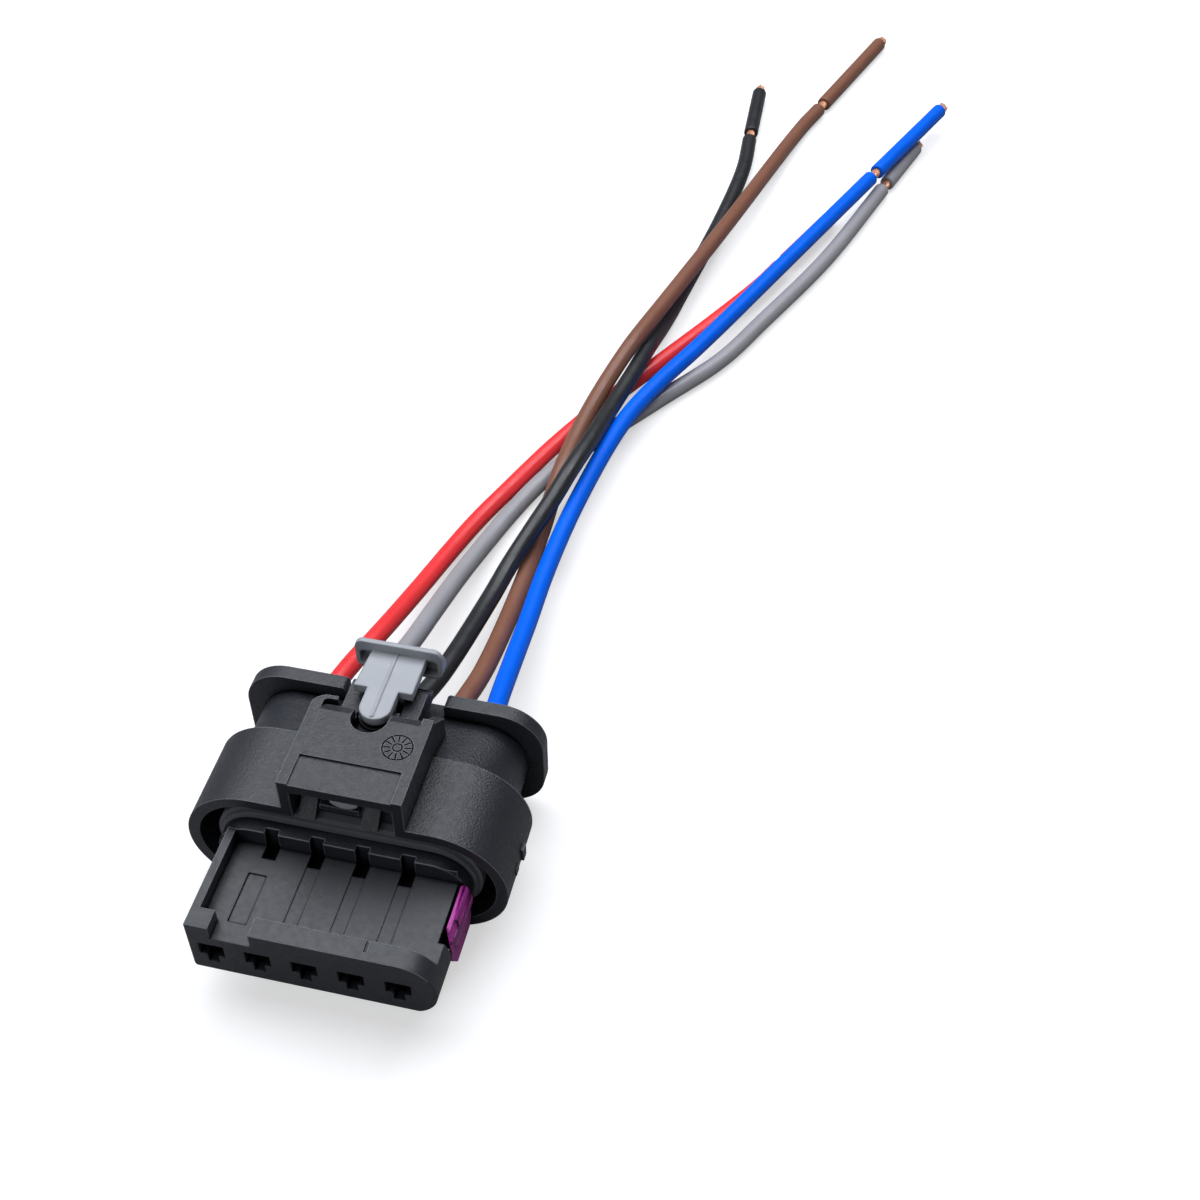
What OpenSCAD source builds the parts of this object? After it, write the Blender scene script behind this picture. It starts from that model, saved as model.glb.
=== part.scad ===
// Five-way sealed plug connector with its latch, locks, seals, terminals and pigtail wires.
// Sizes are in millimetres. X runs along the row of contacts, -Y is the mating side and +Z is up.
// The origin lies on the mating axis, in the plane of the shroud's rim.

/* [Contacts] */
// Distance between neighbouring contacts
pitch = 5.0; // [4.8:0.1:5.6]
// Width of a terminal cavity
cavity_w = 3.1; // [2.9:0.1:3.3]
// Height of a terminal cavity above the mating axis
cavity_rise = 1.3; // [1.25:0.05:1.5]
// Depth of a terminal cavity below the mating axis
cavity_drop = 2.5; // [2.3:0.1:2.7]
// Width of the blade slot in the front wall
blade_slot_w = 2.75; // [2.4:0.05:2.85]
// Height of the blade slot
blade_slot_h = 1.9; // [1.5:0.1:2.0]
// Top of the blade slot above the mating axis
blade_slot_rise = 0.9; // [0.7:0.1:1.1]
// Width of the key slot under the blade slot
key_slot_w = 1.2; // [0.9:0.1:1.6]
// Height of the key slot
key_slot_h = 1.2; // [0.8:0.1:1.3]
// Thickness of the wall in front of the terminals
front_wall = 1.2; // [0.8:0.1:1.6]
// Diameter of the bore for a wire seal
seal_bore_d = 4.2; // [3.8:0.1:4.5]
// Depth of a seal bore from the rear face
seal_bore_len = 9.5; // [8.5:0.1:10]
// Gap round a terminal in its cavity
terminal_gap = 0.12; // [0.08:0.01:0.2]

/* [Nose] */
// Length of the nose in front of the shroud's rim
nose_len = 13.3; // [12.5:0.1:15]
// Height of the nose
nose_h = 8.3; // [7.9:0.1:8.5]
// Distance from the first contact to the nose's flat left side
nose_left = 2.4; // [2.2:0.1:3]
// Distance from the last contact to the nose's flat right side
nose_right = 2.9; // [2.6:0.1:3.2]
// Length of the head with the round right end
head_len = 4.8; // [4.2:0.1:5]
// Radius of the nose's lower long edges
nose_corner_r = 1.1; // [0.4:0.1:1.1]
// Radius of the edge between the front face and the underside
nose_edge_r = 0.7; // [0.3:0.1:1]
// Depth of the pocket in the nose's top
pocket_depth = 2.05; // [1.8:0.05:2.3]
// Length of the raised band at the front of the pocket
band_len = 2.3; // [1.8:0.1:2.8]
// Width of the rim along the pocket's left side
rim_w = 0.9; // [0.6:0.1:1.2]
// How far the left rim and the key tab lie below the band
rim_drop = 0.2; // [0.1:0.05:0.4]
// Width of the key tab at the front left corner
key_tab_w = 2.55; // [2.2:0.05:3]
// Width of the gap between the key tab and the band
key_gap_w = 4.35; // [3.8:0.05:4.8]
// Width of the slots between the contacts, at the back of the pocket
comb_slot_w = 1.5; // [1.2:0.1:1.6]
// Length of those slots
comb_slot_len = 2.3; // [1.8:0.1:2.6]
// Depth of those slots below the pocket's floor
comb_slot_depth = 1.5; // [1:0.1:1.8]
// Width of the shallow marking field in the pocket
mark_w = 2.0; // [1.5:0.1:2.4]
// Length of the marking field
mark_len = 6.1; // [4:0.1:6.5]
// Depth of shallow marking fields
mark_depth = 0.15; // [0.1:0.05:0.3]
// Depth of the shallow strips that run on from the slots to the band
strip_depth = 0.08; // [0.05:0.01:0.15]
// Width of an inspection window in the underside
window_w = 2.3; // [2:0.1:2.6]
// Length of an inspection window
window_len = 4.0; // [3.4:0.1:4.1]
// Distance from the front face to the windows
window_front = 4.3; // [4:0.1:4.5]

/* [Shroud] */
// Distance from the last contact to the shroud's outer end
shroud_margin = 7.9; // [7.6:0.1:9]
// Outer height of the shroud
shroud_h = 16; // [15.6:0.1:16.6]
// Length of the shroud from its rim
shroud_len = 10; // [9.4:0.1:11]
// Thickness of the shroud's wall
shroud_wall = 1.3; // [1:0.1:1.5]
// Thickness of the wall behind the shroud's hollow
shroud_back = 1.4; // [1:0.1:1.8]
// Width of the notch in the shroud's lower rim
notch_w = 4.35; // [3.5:0.05:5]
// Depth of that notch
notch_len = 4.7; // [3.5:0.1:5.5]
// Corner radius of that notch
notch_r = 1.3; // [0.8:0.1:1.6]
// How far the side nubs stand proud
nub_proud = 0.3; // [0.2:0.1:0.6]

/* [Interface seal] */
// Distance from the last contact to the end of the seal's seat
seat_margin = 3.4; // [3.2:0.1:3.7]
// Height of the seal's seat
seat_h = 8.4; // [8.1:0.1:8.5]
// Distance from the last contact to the end of the lip that keeps the seal
lip_margin = 4.0; // [3.8:0.1:4.3]
// Height of the lip
lip_h = 8.7; // [8.6:0.1:9.2]
// Length of the lip
lip_len = 1.6; // [1.3:0.1:2]
// Thickness of the seal's sleeve
seal_t = 0.9; // [0.7:0.1:1.1]
// Height of the seal's ribs above its sleeve
seal_rib = 0.45; // [0.3:0.05:0.6]
// Length of the seal
seal_len = 5.4; // [4.5:0.1:6]
// Gap between the seal and its seat
seal_gap = 0.08; // [0.05:0.01:0.15]

/* [Rear body] */
// Distance from the last contact to the body's outer end
body_margin = 5.5; // [5:0.1:6]
// Length of the body from the shroud to the flange
body_len = 7.3; // [6.5:0.1:9]
// Top of the body at the flange, above the mating axis
body_top = 5.6; // [5.2:0.1:5.8]
// Underside of the body at the flange, below the mating axis
body_bottom = 5.0; // [4.6:0.1:5.4]
// Step from the shroud's top down to the body
body_step = 0.25; // [0.1:0.05:0.6]
// Distance from the last contact to the flange's outer end
flange_margin = 7.35; // [6.8:0.05:8]
// Thickness of the flange
flange_t = 1.7; // [1.3:0.1:2.2]
// Top of the flange above the mating axis
flange_top = 7.6; // [7.2:0.1:8]
// Underside of the flange below the mating axis
flange_bottom = 7.1; // [6.6:0.1:7.6]
// Corner radius of the flange
flange_r = 5.0; // [4:0.1:6]
// Width of the gap in the flange for the latch
flange_gap_w = 11.3; // [11.2:0.1:12.2]

/* [Latch arch] */
// Middle of the arch and the latch along the row of contacts
arch_x = 0.45; // [0:0.05:0.8]
// Outer width of the arch
arch_w = 13.5; // [13.2:0.1:14.5]
// Length of the arch's plate
arch_len = 11.4; // [11:0.1:11.6]
// Top of the arch above the mating axis
arch_top = 12.4; // [12.3:0.1:13]
// Thickness of the arch's plate
arch_plate = 1.5; // [1.2:0.1:1.5]
// Thickness of the arch's side walls
arch_wall = 1.2; // [1:0.1:1.3]
// End of the side walls behind the rim
arch_wall_len = 14.4; // [13.6:0.1:15]
// Height of the side walls at that end above the mating axis
arch_wall_end = 9.2; // [8.8:0.1:10]
// Radius of the rounded notch in the plate's rear edge
arch_notch_r = 2.05; // [2:0.05:2.4]
// Depth of that notch
arch_notch_len = 3.2; // [3.1:0.1:3.6]
// Length of the shallow label field on the plate
label_len = 4.0; // [3:0.1:4.6]
// Depth of the label field
label_depth = 0.25; // [0.15:0.05:0.4]
// Radius of the date wheel
wheel_r = 1.7; // [1.4:0.1:1.9]

/* [Latch arm] */
// Gap between the latch arm and the arch's side walls
latch_side_gap = 0.45; // [0.3:0.05:0.8]
// How far the latch arm narrows on each side behind the arch
latch_narrow = 0.8; // [0.4:0.05:1]
// Thickness of the latch arm
latch_t = 1.2; // [1:0.1:1.3]
// Underside of the latch arm above the mating axis
latch_z = 7.6; // [7.5:0.1:7.7]
// Front end of the latch arm behind the rim
latch_front = 3.2; // [3:0.1:3.6]
// Rear end of the latch arm behind the rim
latch_rear = 18.2; // [17.8:0.1:18.6]
// Place of the latch pivot behind the rim
pivot_y = 7.0; // [6.6:0.1:7.4]
// Radius of the latch pivots
pivot_r = 0.5; // [0.4:0.05:0.6]
// Radial clearance of the pivots in the arch's walls
pivot_gap = 0.05; // [0.02:0.01:0.08]
// Width of a latch prong
prong_w = 1.8; // [1.5:0.1:2]
// Thickness of a latch prong
prong_t = 0.7; // [0.5:0.1:0.8]
// Height of the prong tips above the mating axis
prong_tip = 6.4; // [6.3:0.1:6.8]
// Width of the rails along the arm's rear edges
rail_w = 2.05; // [1.8:0.05:2.1]
// Height of the rails above the arm
rail_h = 1.2; // [0.9:0.1:1.3]

/* [Position lock] */
// Top of the lock above the mating axis
lock_top = 12.0; // [11.9:0.05:12.2]
// Thickness of the lock's plate
lock_t = 1.1; // [0.9:0.05:1.2]
// Width of the lock's plate
lock_w = 6.6; // [6:0.1:7]
// Front of the lock's plate behind the rim
lock_front = 14.6; // [14.4:0.05:14.9]
// Rear of the lock's plate behind the rim
lock_rear = 19.75; // [19.6:0.05:20.2]
// Radius of the tongue's round end
tongue_r = 1.75; // [1.5:0.05:1.8]
// Length of the tongue in front of the plate
tongue_len = 4.2; // [4:0.05:4.3]
// Width of the thumb bar
thumb_w = 9.9; // [9.4:0.05:10]
// Top of the thumb bar above the mating axis
thumb_top = 13.2; // [13:0.1:13.4]
// Height of the thumb bar
thumb_h = 4.2; // [4:0.1:4.2]
// Length of the thumb bar along Y at its foot
thumb_len = 1.6; // [1.4:0.1:2]
// Thickness of the thumb bar at its top
thumb_lip = 0.6; // [0.5:0.05:0.8]
// Thickness of the walls round the thumb bar's hollow
thumb_wall = 0.5; // [0.4:0.05:0.6]
// Width of the beam that runs forward under the arch
beam_w = 3.0; // [2.6:0.1:3.1]
// Thickness of the beam
beam_t = 0.8; // [0.6:0.05:0.85]
// Gap between the latch arm and the beam
beam_gap = 0.2; // [0.15:0.05:0.25]

/* [Terminal lock] */
// Length along Y of the lock's bar
bar_len = 2.2; // [1.9:0.1:2.4]
// Height of the lock's bar
bar_h = 1.6; // [1.4:0.1:1.7]
// How far the bar stands below the nose
bar_proud = 0.45; // [0.3:0.05:0.6]
// Gap between the bar and its groove
bar_gap = 0.1; // [0.06:0.01:0.12]
// Distance from the rim to the bar's rear edge
bar_back = 2.5; // [2.4:0.05:2.6]
// Distance from the nose's left side to the bar's end
bar_inset = 0.5; // [0.4:0.1:0.9]
// Thickness of the side plate at its foot
plate_t = 0.7; // [0.6:0.05:0.9]
// Height of the raised pad on the side plate
pad_t = 0.25; // [0.15:0.05:0.4]
// Gap between the side plate and the nose
plate_gap = 0.45; // [0.3:0.05:0.5]
// Length of the side plate along Y
plate_len = 6.8; // [6.2:0.1:6.9]
// Travel of the lock to its open end
bar_travel = 2.0; // [1.6:0.1:2.2]
// How far the detent bump stands out from the bar
bump_proud = 0.3; // [0.2:0.05:0.35]
// Radius of the lock's lower outer edges
lock_edge_r = 0.6; // [0.3:0.05:0.6]

/* [Wires] */
// Outer diameter of a wire
wire_d = 2.4; // [2.1:0.05:2.5]
// Diameter of the copper strands
core_d = 1.5; // [1.2:0.05:1.6]
// Clearance of the wire in its seal and of the strands in the end sleeve
wire_gap = 0.05; // [0.02:0.01:0.08]
// Bare strands between the insulation and the end sleeve
bare_len = 2.0; // [1:0.1:3]
// Bare strands beyond the end sleeve
tip_len = 1.5; // [0.8:0.1:2.5]
// Clearance of a wire seal in its bore
plug_gap = 0.05; // [0.02:0.01:0.08]
// Height of a wire seal's ribs
plug_rib = 0.25; // [0.15:0.05:0.35]

/* [Hidden] */
$fn = 64;
colours = ["red", "grey", "black", "brown", "blue"];
ways = len(colours);

black_plastic = "#303236";
far = 60;
eps = 0.05;
row_half = (ways - 1) / 2 * pitch;
way_x = [for (i = [0:ways - 1]) i * pitch - row_half];
floor_z = -shroud_h / 2;

nose_front = -nose_len;
nose_top = nose_h / 2;
nose_x0 = -row_half - nose_left;
nose_x1 = row_half + nose_right;
pocket_z = nose_top - pocket_depth;
pocket_y = nose_front + band_len;
key_tab_x = nose_x0 + key_tab_w;
band_x = key_tab_x + key_gap_w;
lip_y = 0.5 - lip_len;
comb_y = -0.4;
mark_x = key_tab_x + 0.95;
slot_x = 6.4;
slot_w = 0.35;
slot_len = 1.4;
window_y = nose_front + window_front;
window_chamfer = 0.5;

hollow_len = shroud_len - shroud_back;
shroud_w = 2 * (row_half + shroud_margin);
notch_x = 0.5;
nub_y = 5.7;
nub_len = 1.0;
nub_h = 1.8;

seal_y = lip_y + lip_len + 0.1;
body_w = 2 * (row_half + body_margin);
body_front_r = 7;
body_rear_r = 5;
flange_y = shroud_len + body_len;
flange_gap_r = 0.5;
rear_y = flange_y + flange_t;

arch_inner = arch_w - 2 * arch_wall;
arch_under = arch_top - arch_plate;
arch_chamfer = 1.1;
arch_chamfer_drop = 0.5;
arch_notch_y = arch_len - arch_notch_len + arch_notch_r;
curl_y = arch_len + 0.9;
curl_r = 1.5;
curl_t = 0.45;
curl_inner_r = 0.6;
curl_rise = 0.5;
label_w = arch_inner;
strip_drop = 0.08;
wheel_x = arch_x + 4.1;
wheel_y = 7.05;
wheel_line = 0.16;
wheel_spokes = 12;

latch_w = arch_inner - 2 * latch_side_gap;
latch_tail_w = latch_w - 2 * latch_narrow;
latch_top = latch_z + latch_t;
pivot_z = latch_z + latch_t / 2;
pivot_len = 0.8;
tail_y = arch_len + 0.2;
rail_short = 0.8;
rail_r = 0.8;
prong_inset = [0.85, 2.5];
prong_x = [arch_x - latch_w / 2 + prong_inset[0], arch_x + latch_w / 2 - prong_inset[1]];
prong_y = 0.3;
catch_w = 4.0;
catch_len = 2.8;
catch_y = 8.6;

lock_under = lock_top - lock_t;
beam_z = latch_top + beam_gap;
beam_front = 0.8;
beam_tip_len = 1.8;
beam_tip_drop = 0.3;
beam_belly_r = 1.95;
keel_y = 15.2;
keel_gap = 0.25;
keel_w = latch_tail_w - 2 * (rail_w + keel_gap);
loop_t = 0.55;
loop_z = beam_z + beam_t + 0.15;
loop_wall = 0.65;
loop_side = 0.15;
loop_y = lock_front - tongue_len + tongue_r;
loop_rear = 13.0;
shelf_len = 4.2;
shelf_t = 0.2;
lock_taper = 0.45;
thumb_x = 0.05;
thumb_r = 1.0;
thumb_bottom = thumb_top - thumb_h;
thumb_slope = 1.8;
rib_w = 0.3;
rib_h = 0.12;

groove_y0 = -bar_back - bar_len - bar_gap;
groove_y1 = -bar_back + bar_gap;
groove_top = -nose_top - bar_proud + bar_h + bar_gap;
bar_z = -nose_top - bar_proud;
bar_x = nose_x0 + bar_inset;
dent_depth = 0.25;
dent_len = 2.2;
dent_w = 1.1;
dent_angle = 23;
dent_y = 1.7;
lead_w = 0.65;
lead_len = 1.3;
bump_x = row_half - 2.4;
bump_r = 0.6;
spring_slot = [bump_x - 2.2, bump_x + 2.8];
plate_x = nose_x1 + plate_gap;
plate_y1 = lip_y - 0.2;
plate_y0 = plate_y1 - plate_len;
plate_top = pocket_z + 0.5;

terminal_front = nose_front + front_wall + terminal_gap;
terminal_top = cavity_rise - terminal_gap;
terminal_bottom = -cavity_drop + terminal_gap;
terminal_box_w = cavity_w - 2 * terminal_gap;
terminal_box_len = 5.0;
terminal_wall = 0.25;
neck_w = 1.4;
neck_t = 0.5;
barrel_y = -1.0;
wire_start = 8.0;
barrel_d = 2 * terminal_top;

plug_y0 = rear_y - seal_bore_len + 1.0;
plug_y1 = rear_y - 0.4;
plug_ribs = 3;
sides = 8;

// Routes of the wires' middles, from the crimp to the end of the insulation.
// The third number is the height above the surface that the connector lies on.
routes = [
    [[-10, 8, 8], [-10, 20, 8], [-9.5, 24, 7.8], [-8.8, 28.5, 7.1], [-7.9, 33, 6.3], [-7.1, 38.6, 4.9],
     [-5.9, 46.8, 3.1], [-4.7, 54, 1.9], [-3, 61, 1.3], [-0.7, 67.5, 1.2], [3.3, 78, 1.2], [8.4, 89, 1.2],
     [14.5, 100.5, 1.2], [20, 111, 1.2], [25, 121.2, 1.2], [27.2, 126.8, 1.2]],
    [[-5, 8, 8], [-5, 20, 8], [-4.5, 24.5, 7.9], [-3.9, 29, 7.4], [-3.2, 33.6, 6.6], [-2.7, 40.5, 4.9],
     [-1.9, 49, 3], [-0.6, 57, 1.7], [1.1, 64, 1.2], [3.4, 70.5, 1.2], [6.6, 77, 1.2], [15.4, 90.8, 1.2],
     [22.4, 101.6, 1.2], [27.1, 112.7, 1.2], [34, 130.2, 1.2], [40.4, 152, 1.2]],
    [[0, 8, 8], [0, 20, 8], [1.7, 30, 6.2], [3.1, 44.8, 3.7], [4, 51.5, 3.7], [5.4, 57.2, 4.6],
     [6.8, 62.8, 5.4], [7.9, 68, 6.1], [9.1, 75.6, 5.7], [10.1, 84.6, 4.5], [11.2, 92.4, 4], [11.9, 98.8, 3.5],
     [12.9, 110.5, 1.3], [16, 137, 1.2], [17, 153, 1.2], [16.5, 162.2, 1.2]],
    [[5, 8, 8], [5, 20, 8], [5.6, 25, 7.2], [6.2, 31, 5.9], [6.1, 47.4, 2.6], [5.7, 61, 1.2],
     [5.8, 65.7, 2.3], [6.1, 70.4, 3.7], [6.4, 77, 3.8], [7.2, 84.2, 4.1], [8.4, 90.4, 4.8], [10, 97, 5.6],
     [12.7, 109.2, 5.1], [18, 134, 3.7], [24.4, 167, 1.2], [26.7, 174.6, 1.2]],
    [[10, 8, 8], [10, 20, 8], [9.5, 26.5, 7], [9.2, 34, 5.7], [9, 41.7, 4.6], [8.8, 49.5, 3.9],
     [9, 57.3, 3.6], [9.6, 65.2, 3.6], [11.3, 78, 3.7], [12.8, 84.8, 3.7], [15.4, 92.2, 3.7],
     [18.7, 100.3, 3.5], [21.9, 108.7, 3.3], [25.1, 117.1, 3.3], [32, 134.6, 3.6], [38.4, 151.1, 3.7]]
];
sleeve_len = [13, 12.5, 13.5, 24.5, 23];

// Rectangle with round corners, about the origin
module round_box(w, h, r) {
    square([w - 2 * r, h], center = true);
    square([w, h - 2 * r], center = true);
    for (x = [-1, 1], y = [-1, 1])
        translate([x * (w / 2 - r), y * (h / 2 - r)])
            circle(r);
}

// Rectangle with half-round ends, about the origin
module obround(w, h) {
    square([w - h, h], center = true);
    for (x = [-1, 1])
        translate([x * (w - h) / 2, 0])
            circle(h / 2);
}

// Carries an outline drawn in X and Z along Y, from y0 to y1
module along_y(y0, y1) {
    translate([0, y1, 0])
        rotate([90, 0, 0])
            linear_extrude(y1 - y0)
                children();
}

// Carries an outline drawn in Y and Z along X, from x0 to x1
module along_x(x0, x1) {
    translate([x0, 0, 0])
        rotate([90, 0, 90])
            linear_extrude(x1 - x0)
                children();
}

// Block between two corners
module block(low, high) {
    translate(low)
        cube(high - low);
}

// Nose: the head with its round end and the square part behind it
module nose_body() {
    along_y(nose_front, nose_front + head_len) {
        difference() {
            translate([nose_x0, -nose_top])
                square([row_half - nose_x0, nose_h]);
            corner_cut(nose_x0, -nose_top, 1, nose_corner_r);
        }
        translate([row_half, 0])
            circle(nose_top);
    }
    along_y(nose_front + head_len - eps, lip_y + eps)
        difference() {
            translate([nose_x0, -nose_top])
                square([nose_x1 - nose_x0, nose_h]);
            corner_cut(nose_x0, -nose_top, 1, nose_corner_r);
            corner_cut(nose_x1, -nose_top, -1, nose_corner_r);
        }
}

// What a rounding of radius r takes off a corner at x, z; side and up point into the piece
module corner_cut(x, z, side, r, up = 1) {
    translate([x, z])
        scale([side, up])
            difference() {
                translate([-eps, -eps])
                    square(r + eps);
                translate([r, r])
                    circle(r);
            }
}

// What is cut from the nose's top: the pocket, its step, the key gap, the slots and their strips,
// the marking field and the short slit in the band
module nose_top_cuts() {
    block([nose_x0 + rim_w, pocket_y, pocket_z], [far, lip_y, far / 4]);
    block([key_tab_x, nose_front - eps, pocket_z], [band_x, pocket_y + eps, far / 4]);
    block([nose_x0 - eps, nose_front - eps, nose_top - rim_drop], [key_tab_x, lip_y, far / 4]);
    for (i = [0:ways - 2])
        translate([way_x[i] + pitch / 2 - comb_slot_w / 2, comb_y - comb_slot_len, pocket_z - comb_slot_depth])
            cube([comb_slot_w, comb_slot_len, far / 4]);
    for (i = [1:ways - 2])
        translate([way_x[i] + pitch / 2 - comb_slot_w / 2, pocket_y, pocket_z - strip_depth])
            cube([comb_slot_w, comb_y - pocket_y, far / 4]);
    block([mark_x, pocket_y + 0.15, pocket_z - mark_depth],
          [mark_x + mark_w, pocket_y + 0.15 + mark_len, far / 4]);
    block([slot_x, pocket_y - slot_len, nose_top - mark_depth], [slot_x + slot_w, pocket_y + eps, far / 4]);
}

// What is cut from the nose's underside: windows, the lock's groove, its recesses and its detent
module nose_bottom_cuts() {
    under = -nose_top - bar_proud - 1;
    for (x = way_x) {
        translate([x, window_y, under])
            linear_extrude(-cavity_drop + eps - under)
                polygon([
                    [-window_w / 2 + window_chamfer, 0],
                    [window_w / 2, 0],
                    [window_w / 2, window_len],
                    [-window_w / 2, window_len],
                    [-window_w / 2, window_chamfer]
                ]);
        block([x - 1.8, groove_y1 - eps, under], [x + 1.8, lip_y - 0.2, groove_top]);
    }
    block([-far, groove_y0, under], [far, groove_y1, groove_top]);
    translate([bump_x, groove_y0, under])
        cylinder(r = bump_r + 0.15, h = groove_top - under);
    block([bump_x - bump_r - 0.15, groove_y0 - bump_proud - 0.1, under],
          [bump_x + bump_r + bar_travel + 0.3, groove_y0 + eps, groove_top]);
}

// What rounding takes off the edge between the front face and the underside
module nose_edge_cut() {
    along_x(-far, far)
        translate([nose_front, -nose_top])
            difference() {
                translate([-eps, -eps])
                    square(nose_edge_r + eps);
                translate([nose_edge_r, nose_edge_r])
                    circle(nose_edge_r);
            }
}

// Slots, cavities and seal bores of all the contacts
module contact_cuts() {
    for (x = way_x)
        translate([x, 0, 0]) {
            block([-blade_slot_w / 2, nose_front - eps, blade_slot_rise - blade_slot_h],
                  [blade_slot_w / 2, nose_front + front_wall + eps, blade_slot_rise]);
            block([-key_slot_w / 2, nose_front - eps, blade_slot_rise - blade_slot_h - key_slot_h],
                  [key_slot_w / 2, nose_front + front_wall + eps, blade_slot_rise - blade_slot_h + eps]);
            block([-cavity_w / 2, nose_front + front_wall, -cavity_drop],
                  [cavity_w / 2, rear_y - seal_bore_len + eps, cavity_rise]);
            along_y(rear_y - seal_bore_len, rear_y + eps)
                circle(d = seal_bore_d);
        }
}

// Seat and lip of the interface seal
module seal_seat() {
    along_y(lip_y, hollow_len + eps)
        round_box(2 * (row_half + seat_margin), seat_h, seat_h / 2 - 0.1);
    along_y(lip_y, lip_y + lip_len)
        round_box(2 * (row_half + lip_margin), lip_h, lip_h / 2 - 0.1);
}

// Hollow shroud with its back wall and side nubs
module shroud() {
    difference() {
        along_y(0, shroud_len)
            obround(shroud_w, shroud_h);
        along_y(-eps, hollow_len)
            obround(shroud_w - 2 * shroud_wall, shroud_h - 2 * shroud_wall);
        translate([notch_x, 0, floor_z - eps])
            linear_extrude(shroud_h / 4)
                notch_outline();
    }
    block([shroud_w / 2 - shroud_wall / 2, nub_y - nub_len / 2, -nub_h / 2],
          [shroud_w / 2 + nub_proud, nub_y + nub_len / 2, nub_h / 2]);
    block([shroud_w / 2 - shroud_wall / 2, nub_y / 2, -nub_h / 4],
          [shroud_w / 2 + nub_proud / 2, nub_y / 2 + nub_len, nub_h / 4]);
}

// Outline of the notch in the shroud's lower rim
module notch_outline() {
    translate([-notch_w / 2, -eps])
        square([notch_w, notch_len - notch_r + eps]);
    translate([-notch_w / 2 + notch_r, -eps])
        square([notch_w - 2 * notch_r, notch_len + eps]);
    for (x = [-1, 1])
        translate([x * (notch_w / 2 - notch_r), notch_len - notch_r])
            circle(notch_r);
}

// Section of the rear body, between its top and its underside
module body_section(top, bottom, r) {
    translate([0, (top - bottom) / 2])
        round_box(body_w, top + bottom, r);
}

// Body that narrows from the shroud to the flange
module rear_body() {
    hull() {
        along_y(shroud_len - 0.3, shroud_len)
            body_section(shroud_h / 2 - body_step, shroud_h / 2 - eps, body_front_r);
        along_y(flange_y - 0.1, flange_y + 0.2)
            body_section(body_top, body_bottom, body_rear_r);
    }
}

// Rear flange
module flange() {
    along_y(flange_y, rear_y)
        translate([0, (flange_top - flange_bottom) / 2])
            round_box(2 * (row_half + flange_margin), flange_top + flange_bottom, flange_r);
}

// Arch over the latch: two side walls and the plate between them
module arch() {
    for (x = [arch_x - arch_w / 2, arch_x + arch_w / 2 - arch_wall])
        along_x(x, x + arch_wall)
            polygon([
                [0, shroud_h / 2 - shroud_wall / 2],
                [0, arch_top],
                [arch_len - arch_chamfer / 2, arch_top],
                [arch_wall_len, arch_wall_end],
                [arch_wall_len, cavity_rise + 2],
                [hollow_len + shroud_back / 2, cavity_rise + 2],
                [hollow_len + shroud_back / 2, shroud_h / 2 - shroud_wall / 2]
            ]);
    block([arch_x - arch_w / 2, 0, arch_under], [arch_x + arch_w / 2, arch_len, arch_top]);
}

// Rim round the arch's rear left corner, which turns inwards behind the plate
module arch_curl() {
    x0 = arch_x - arch_w / 2;
    x1 = arch_x - latch_tail_w / 2 + 0.2;
    z0 = latch_top + rail_h + curl_rise;
    translate([0, 0, z0])
        linear_extrude(arch_top - z0)
            difference() {
                union() {
                    translate([x0 + curl_r, curl_y - curl_r])
                        circle(curl_r);
                    translate([x0, arch_len - curl_r])
                        square([arch_wall, curl_y - arch_len]);
                    translate([x0 + curl_r, curl_y - curl_t])
                        square([x1 - x0 - curl_r, curl_t]);
                }
                difference() {
                    translate([x0 + arch_wall, arch_len - 2 * curl_r])
                        square([2 * curl_r, curl_y - curl_t - arch_len + 2 * curl_r]);
                    corner_cut(x0 + arch_wall, curl_y - curl_t, 1, curl_inner_r, -1);
                }
            }
}

// What is cut from the arch and the walls under it
module arch_cuts() {
    block([arch_x - arch_inner / 2, -eps, body_top], [arch_x + arch_inner / 2, rear_y + eps, arch_under]);
    block([arch_x - flange_gap_w / 2, flange_y, body_top], [arch_x + flange_gap_w / 2, rear_y + eps, far / 2]);
    along_y(flange_y - eps, rear_y + eps)
        for (side = [-1, 1])
            corner_cut(arch_x + side * flange_gap_w / 2, flange_top, side, flange_gap_r, -1);
    translate([arch_x, arch_notch_y, arch_under - eps])
        linear_extrude(far / 4) {
            circle(arch_notch_r);
            translate([-arch_notch_r, 0])
                square([2 * arch_notch_r, arch_notch_len]);
        }
    along_x(arch_x - arch_inner / 2, arch_x + arch_inner / 2)
        polygon([
            [arch_len - arch_chamfer, arch_top],
            [arch_len + eps, arch_top - arch_chamfer_drop],
            [arch_len + eps, arch_top + 1],
            [arch_len - arch_chamfer, arch_top + 1]
        ]);
    block([arch_x - label_w / 2, -eps, arch_top - label_depth], [arch_x + label_w / 2, label_len, far / 2]);
    block([arch_x - arch_w / 2 - eps, -eps, arch_top - strip_drop], [arch_x - label_w / 2, far / 4, far / 2]);
    date_wheel_cut();
    along_pivot(arch_inner + 2 * pivot_len + 2 * pivot_gap, pivot_r + pivot_gap);
}

// Lines of the date wheel: an outer ring, a hub ring and spokes
module date_wheel_cut() {
    translate([wheel_x, wheel_y, arch_top - mark_depth]) {
        for (r = [wheel_r, wheel_r / 3])
            difference() {
                cylinder(r = r, h = 1);
                translate([0, 0, -eps])
                    cylinder(r = r - wheel_line, h = 1 + 2 * eps);
            }
        for (k = [0:wheel_spokes - 1])
            rotate([0, 0, k * 360 / wheel_spokes + 8])
                translate([wheel_r / 3 + wheel_line, -wheel_line / 2, 0])
                    cube([wheel_r * 2 / 3 - 2.2 * wheel_line, wheel_line, 1]);
    }
}

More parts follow.
